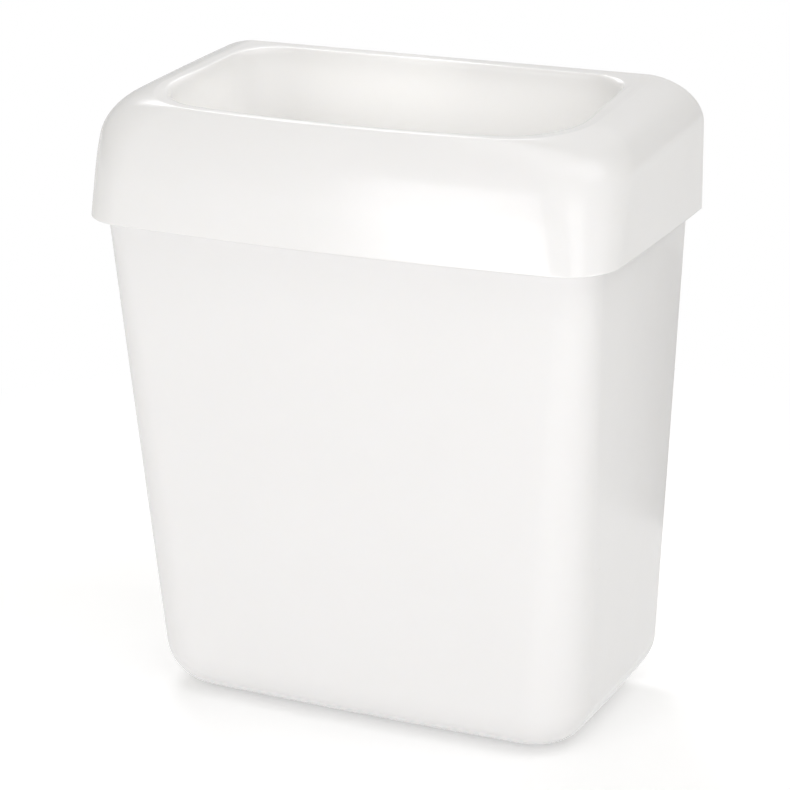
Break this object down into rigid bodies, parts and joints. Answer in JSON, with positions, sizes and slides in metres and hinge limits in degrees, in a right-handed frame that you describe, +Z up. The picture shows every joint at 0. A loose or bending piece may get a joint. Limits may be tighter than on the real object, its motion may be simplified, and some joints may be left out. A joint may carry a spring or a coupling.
{
  "type": "waste bin",
  "caption": "Tapered waste bin with a flat back, a lift-off domed hood whose open top turns down into a funnel, and a hinged wire hoop inside for the bag.",
  "frame": {"origin": "on the floor, under the middle of the bin's bounding box", "axes": "+Z up, the front faces -Y, the flat back is at +Y, +X is to the right seen from the front"},
  "size_m": [0.3738, 0.1923, 0.43],
  "materials": {
    "tub_plastic": "semi-gloss white moulded plastic",
    "hood_plastic": "glossy white moulded plastic",
    "coated_wire": "steel wire with a white plastic coating",
    "clip_plastic": "matt white moulded plastic",
    "screw_steel": "zinc-plated steel"
  },
  "bodies": {
    "tub": {"tub": "tub_plastic", "hoop_clip_left": "clip_plastic", "hoop_clip_right": "clip_plastic", "clip_screws": "screw_steel"},
    "hood": {"hood": "hood_plastic"},
    "bag_hoop": {"bag_hoop": "coated_wire"}
  },
  "joints": [
    {"name": "hood_lift", "type": "slide", "parent": "tub", "child": "hood", "axis": [0, 0, 1], "range_m": [0, 0.3]},
    {"name": "bag_hoop_swing", "type": "hinge", "parent": "tub", "child": "bag_hoop", "pos_m": [0, 0.07789, 0.33], "axis": [-1, 0, 0], "range_deg": [0, 85]}
  ],
  "couplings": [
    {"joint": "bag_hoop_swing", "follows": "hood_lift", "rad_per_m": 4.9}
  ]
}
